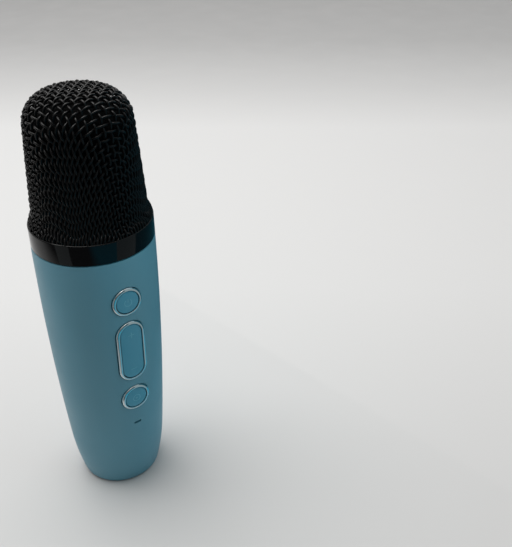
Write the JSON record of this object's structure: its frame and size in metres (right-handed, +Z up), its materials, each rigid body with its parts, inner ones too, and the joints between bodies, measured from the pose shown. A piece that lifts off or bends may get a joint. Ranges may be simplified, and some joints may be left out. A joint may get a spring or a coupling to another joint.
{
  "type": "wireless karaoke microphone",
  "caption": "Handheld wireless microphone: tapered satin handle with chrome-ringed push controls, glossy collar, and a domed woven-wire head that unscrews.",
  "frame": {"origin": "centre of the flat base, on the handle's axis", "axes": "+Z up along the handle towards the woven head; the controls face -Y"},
  "size_m": [0.0366, 0.037, 0.135],
  "materials": {
    "body_blue": "satin moulded plastic",
    "collar_black": "glossy black",
    "grille_black": "black painted woven wire",
    "chrome": "bright plated",
    "steel": "plain steel",
    "frame_plastic": "moulded black",
    "rubber": "matt",
    "foam": "open-cell foam",
    "board": "green solder mask",
    "chip": "moulded epoxy",
    "ceramic": "fired ceramic",
    "cell_sleeve": "shrink sleeve over a metal can",
    "white_plastic": "moulded white",
    "clear": "clear moulding",
    "wire_red": "soft red insulation",
    "wire_black": "soft black insulation"
  },
  "bodies": {
    "handle": {"antenna": "ceramic", "audio_chip": "chip", "battery_cell": "cell_sleeve", "battery_connector": "white_plastic", "battery_pad": "foam", "battery_wire_black": "wire_black", "battery_wire_red": "wire_red", "board_screw_lower": "steel", "board_screw_upper": "steel", "capsule_boot": "rubber", "capsule_holder": "frame_plastic", "capsule_wire_black": "wire_black", "capsule_wire_red": "wire_red", "charge_board": "board", "charge_board_screw_left": "steel", "charge_board_screw_right": "steel", "charge_wire_black": "wire_black", "charge_wire_red": "wire_red", "charger_chip": "chip", "chassis_frame": "frame_plastic", "foam_windscreen": "foam", "handle_shell": "body_blue", "light_pipe": "clear", "main_board": "board", "mic_capsule": "steel", "mode_bezel": "chrome", "mode_switch": "chip", "neck_insert": "frame_plastic", "neck_screw_left": "steel", "neck_screw_right": "steel", "power_bezel": "chrome", "power_switch": "chip", "status_led": "clear", "usb_socket_shell": "steel", "usb_socket_tongue": "chip", "volume_bezel": "chrome", "volume_down_switch": "chip", "volume_up_switch": "chip", "wireless_module": "steel"},
    "power_button": {"power_button": "body_blue"},
    "power_plunger": {"power_switch_plunger": "white_plastic"},
    "mode_button": {"mode_button": "body_blue"},
    "mode_plunger": {"mode_switch_plunger": "white_plastic"},
    "volume_rocker": {"volume_rocker": "body_blue"},
    "volume_up_plunger": {"volume_up_switch_plunger": "white_plastic"},
    "volume_down_plunger": {"volume_down_switch_plunger": "white_plastic"},
    "head_gasket": {"collar_gasket": "rubber"},
    "head": {"grille_mesh": "grille_black", "grille_rim": "steel", "collar_ring": "collar_black"}
  },
  "joints": [
    {"name": "power_press", "type": "slide", "parent": "handle", "child": "power_button", "axis": [0, 0.9999, 0.0134], "range_m": [0, 0.00035]},
    {"name": "power_switch_travel", "type": "slide", "parent": "handle", "child": "power_plunger", "axis": [0, 1, 0], "range_m": [0, 0.00035]},
    {"name": "mode_press", "type": "slide", "parent": "handle", "child": "mode_button", "axis": [0, 0.9986, 0.0526], "range_m": [0, 0.00035]},
    {"name": "mode_switch_travel", "type": "slide", "parent": "handle", "child": "mode_plunger", "axis": [0, 1, 0], "range_m": [0, 0.00035]},
    {"name": "volume_rock", "type": "hinge", "parent": "handle", "child": "volume_rocker", "pos_m": [0, -0.01506, 0.05739], "axis": [-1, 0, 0], "range_deg": [-2, 2]},
    {"name": "volume_up_travel", "type": "slide", "parent": "handle", "child": "volume_up_plunger", "axis": [0, 1, 0], "range_m": [-0.000223, 0.000223]},
    {"name": "volume_down_travel", "type": "slide", "parent": "handle", "child": "volume_down_plunger", "axis": [0, 1, 0], "range_m": [-0.00024, 0.00024]},
    {"name": "head_lift", "type": "slide", "parent": "handle", "child": "head_gasket", "axis": [0, 0, 1], "range_m": [0, 0.0025]},
    {"name": "head_unscrew", "type": "hinge", "parent": "head_gasket", "child": "head", "pos_m": [0, 0, 0.09], "axis": [0, 0, 1], "range_deg": [0, 720]}
  ],
  "couplings": [
    {"joint": "power_switch_travel", "follows": "power_press", "ratio": 1},
    {"joint": "mode_switch_travel", "follows": "mode_press", "ratio": 1},
    {"joint": "volume_rock", "follows": "volume_up_travel", "rad_per_m": 156.25},
    {"joint": "volume_down_travel", "follows": "volume_up_travel", "ratio": -1},
    {"joint": "head_lift", "follows": "head_unscrew", "m_per_rad": 0.000198}
  ]
}
